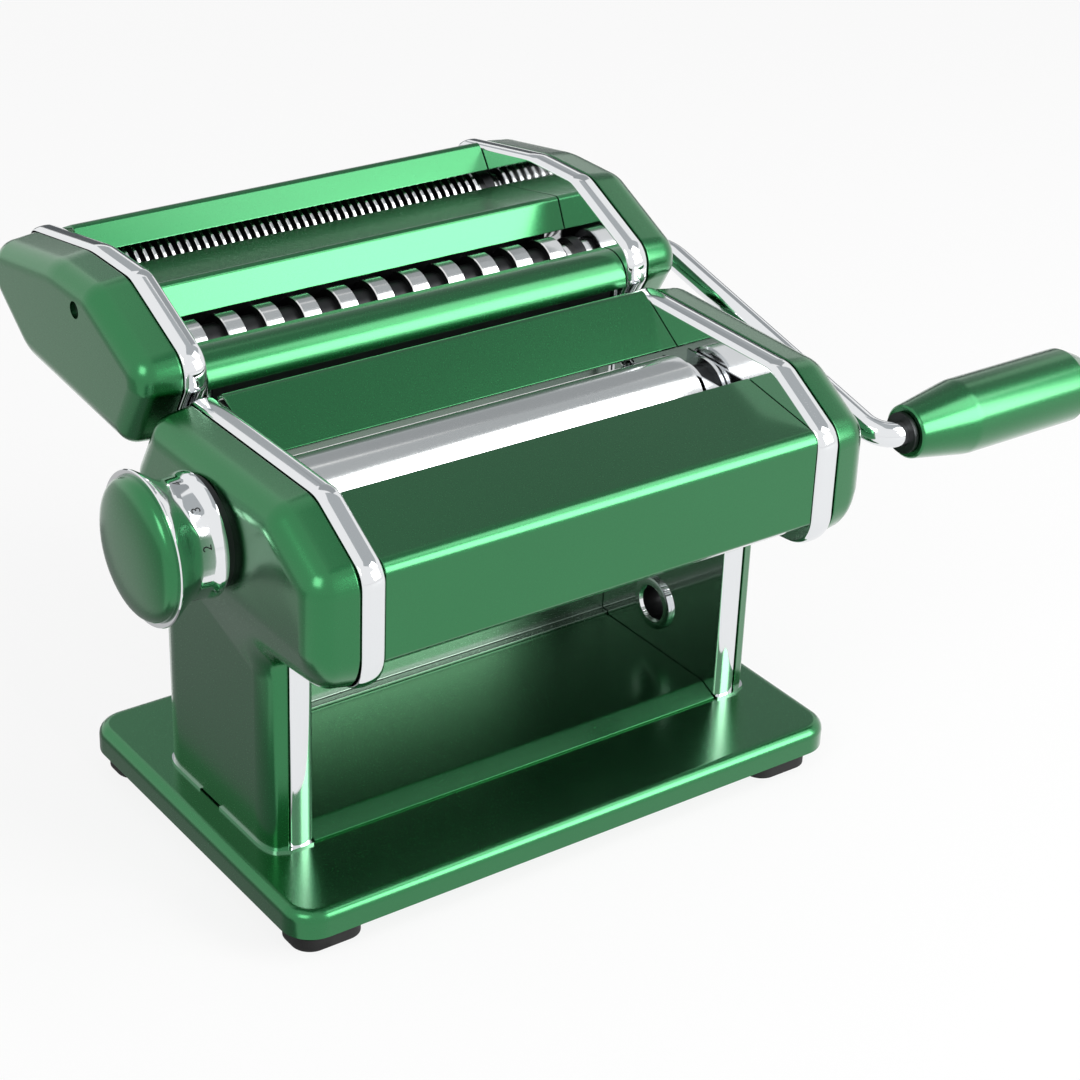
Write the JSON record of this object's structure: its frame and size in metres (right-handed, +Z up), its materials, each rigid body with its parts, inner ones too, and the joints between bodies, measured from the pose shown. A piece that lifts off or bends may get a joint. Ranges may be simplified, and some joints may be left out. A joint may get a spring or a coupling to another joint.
{
  "type": "pasta roller machine",
  "caption": "Hand-cranked pasta machine: smooth rollers set by a thickness dial roll dough to a sheet, and a lift-off unit behind cuts it to wide or fine strips.",
  "frame": {"origin": "on the exit shelf's top face, mid width, straight below the rear roller's axis", "axes": "+Z up; +X along the rollers towards the crank side; +Y to the back, towards the cutter unit"},
  "size_m": [0.315, 0.1945, 0.165],
  "materials": {
    "green_aluminium": "satin green anodised",
    "chromed_steel": "bright chrome plate",
    "steel": "plain steel",
    "dark_steel": "dark oiled steel",
    "roller_metal": "turned, lightly polished",
    "rubber": "black rubber"
  },
  "bodies": {
    "frame": {"base_plate": "green_aluminium", "rubber_feet": "rubber", "left_side_frame": "chromed_steel", "right_side_frame": "chromed_steel", "leg_screws": "steel", "left_side_cover": "green_aluminium", "right_side_cover": "green_aluminium", "front_cover": "green_aluminium", "hopper_back_plate": "green_aluminium", "back_panel": "green_aluminium", "exit_shelf": "green_aluminium", "left_sheet_guide": "chromed_steel", "right_sheet_guide": "chromed_steel", "tie_rods": "steel", "front_scraper": "steel", "front_roller_bushes": "dark_steel", "clamp_eyelet": "chromed_steel", "left_cutter_rail": "steel", "right_cutter_rail": "steel", "dial_index_plate": "dark_steel"},
    "front_roller": {"front_roller": "roller_metal", "front_roller_gear": "steel"},
    "gap_carriage": {"rear_roller_bushes": "dark_steel", "rear_scraper": "steel"},
    "rear_roller": {"rear_roller": "roller_metal", "rear_roller_gear": "steel"},
    "dial_shaft": {"dial_shaft": "steel", "dial_cam": "steel", "dial_spring": "steel"},
    "dial_knob": {"dial_ring": "chromed_steel", "dial_cap": "green_aluminium", "dial_pin": "steel"},
    "cutter_unit": {"cutter_left_frame": "chromed_steel", "cutter_right_frame": "chromed_steel", "cutter_left_cover": "green_aluminium", "cutter_right_cover": "green_aluminium", "cutter_cover_screws": "dark_steel", "cutter_nose": "green_aluminium", "cutter_ridge": "green_aluminium", "cutter_rear_plate": "green_aluminium", "wide_comb": "steel", "fine_comb": "steel", "cutter_tie_rods": "steel", "cutter_bushes": "dark_steel"},
    "wide_rear": {"wide_cutter_rear": "roller_metal", "wide_gear_rear": "steel"},
    "wide_front": {"wide_cutter_front": "roller_metal", "wide_gear_front": "steel"},
    "fine_rear": {"fine_cutter_rear": "roller_metal", "fine_gear_rear": "steel"},
    "fine_front": {"fine_cutter_front": "roller_metal", "fine_gear_front": "steel"},
    "crank": {"crank_rod": "chromed_steel", "crank_pin": "steel", "grip_washer": "dark_steel"},
    "grip": {"crank_grip": "green_aluminium", "grip_plug": "green_aluminium"}
  },
  "joints": [
    {"name": "front_roller_turn", "type": "hinge", "parent": "frame", "child": "front_roller", "pos_m": [0, -0.03082, 0.08468], "axis": [1, 0, 0], "continuous": true},
    {"name": "gap_slide", "type": "slide", "parent": "frame", "child": "gap_carriage", "axis": [0, -0.9397, -0.342], "range_m": [0, 0.0042]},
    {"name": "rear_roller_turn", "type": "hinge", "parent": "gap_carriage", "child": "rear_roller", "pos_m": [0, 0, 0.0959], "axis": [1, 0, 0], "continuous": true},
    {"name": "dial_turn", "type": "hinge", "parent": "frame", "child": "dial_shaft", "pos_m": [-0.1, 0, 0.0959], "axis": [-1, 0, 0], "range_deg": [0, 324]},
    {"name": "dial_pull", "type": "slide", "parent": "dial_shaft", "child": "dial_knob", "axis": [-1, 0, 0], "range_m": [0, 0.005], "stiffness_N_per_m": 900, "springref_m": -0.004, "deforming": ["dial_spring"]},
    {"name": "cutter_lift", "type": "slide", "parent": "frame", "child": "cutter_unit", "axis": [0, 0, 1], "range_m": [0, 0.04]},
    {"name": "wide_rear_turn", "type": "hinge", "parent": "cutter_unit", "child": "wide_rear", "pos_m": [0, 0.06651, 0.11729], "axis": [1, 0, 0], "continuous": true},
    {"name": "wide_front_turn", "type": "hinge", "parent": "cutter_unit", "child": "wide_front", "pos_m": [0, 0.0526, 0.1087], "axis": [1, 0, 0], "continuous": true},
    {"name": "fine_rear_turn", "type": "hinge", "parent": "cutter_unit", "child": "fine_rear", "pos_m": [0, 0.1185, 0.1229], "axis": [1, 0, 0], "continuous": true},
    {"name": "fine_front_turn", "type": "hinge", "parent": "cutter_unit", "child": "fine_front", "pos_m": [0, 0.10253, 0.11942], "axis": [1, 0, 0], "continuous": true},
    {"name": "crank_pull", "type": "slide", "parent": "wide_rear", "child": "crank", "axis": [1, 0, 0], "range_m": [0, 0.03]},
    {"name": "grip_turn", "type": "hinge", "parent": "crank", "child": "grip", "pos_m": [0, -0.04749, 0.09159], "axis": [1, 0, 0], "continuous": true}
  ],
  "couplings": [
    {"joint": "dial_turn", "follows": "gap_slide", "rad_per_m": 1346.4},
    {"joint": "rear_roller_turn", "follows": "front_roller_turn", "ratio": -1},
    {"joint": "wide_front_turn", "follows": "wide_rear_turn", "ratio": -1},
    {"joint": "fine_front_turn", "follows": "fine_rear_turn", "ratio": -1}
  ]
}
